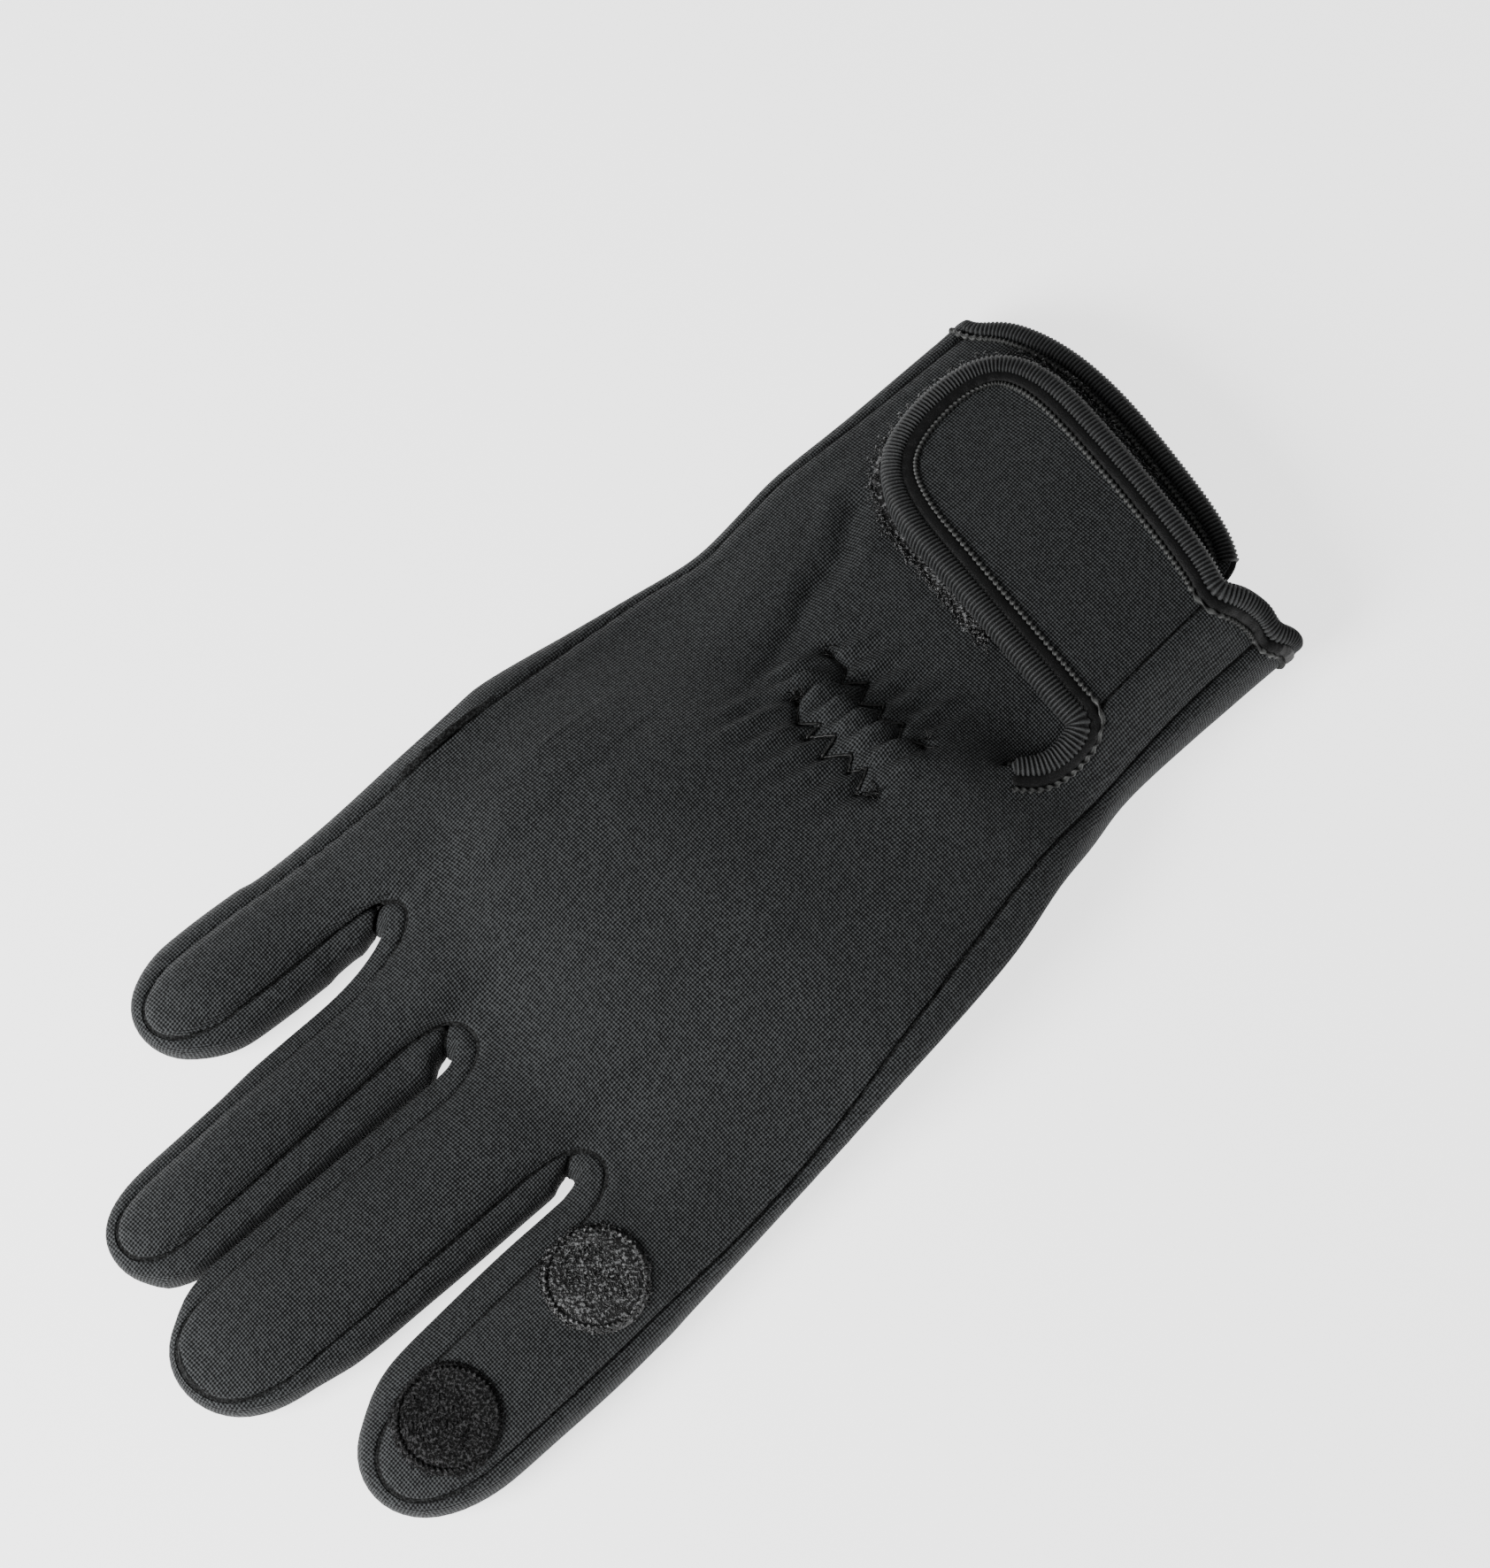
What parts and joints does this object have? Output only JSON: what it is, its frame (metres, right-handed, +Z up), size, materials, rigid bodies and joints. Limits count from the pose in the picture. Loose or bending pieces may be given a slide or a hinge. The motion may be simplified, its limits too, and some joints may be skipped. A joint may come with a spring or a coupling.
{
  "type": "fishing glove",
  "caption": "Neoprene fishing glove with a fold-back index fingertip and thumb, round hook-and-loop patches, a slit cuff and a bound wrist strap, lying palm down.",
  "frame": {"origin": "centre of the glove's box on the surface that it lies on", "axes": "+Y from the cuff to the fingertips, +X to the little finger, +Z up from the palm to the back"},
  "size_m": [0.1214, 0.2606, 0.0315],
  "materials": {
    "neoprene": "fine knit over foam, matt",
    "palm_grip": "embossed basket weave, matt",
    "binding": "ribbed tape",
    "hook_tape": "hooks, slightly shiny",
    "loop_tape": "fuzzy loops"
  },
  "bodies": {
    "root": {"back_panel": "neoprene", "palm_panel": "palm_grip", "index_tip_palm_panel": "palm_grip", "gusset_pinky": "neoprene", "gusset_ring": "neoprene", "gusset_middle": "neoprene", "gusset_index": "neoprene", "thumb_back": "neoprene", "thumb_front": "neoprene", "wrist_strap": "neoprene", "strap_binding": "binding", "cuff_binding": "binding", "strap_hook_patch": "hook_tape", "back_loop_patch": "loop_tape", "index_hook_disc": "hook_tape", "index_loop_disc": "loop_tape", "thumb_loop_disc": "loop_tape", "thumb_hook_disc": "hook_tape", "index_slit_welt_1": "binding", "index_slit_welt_2": "binding"}
  },
  "joints": []
}
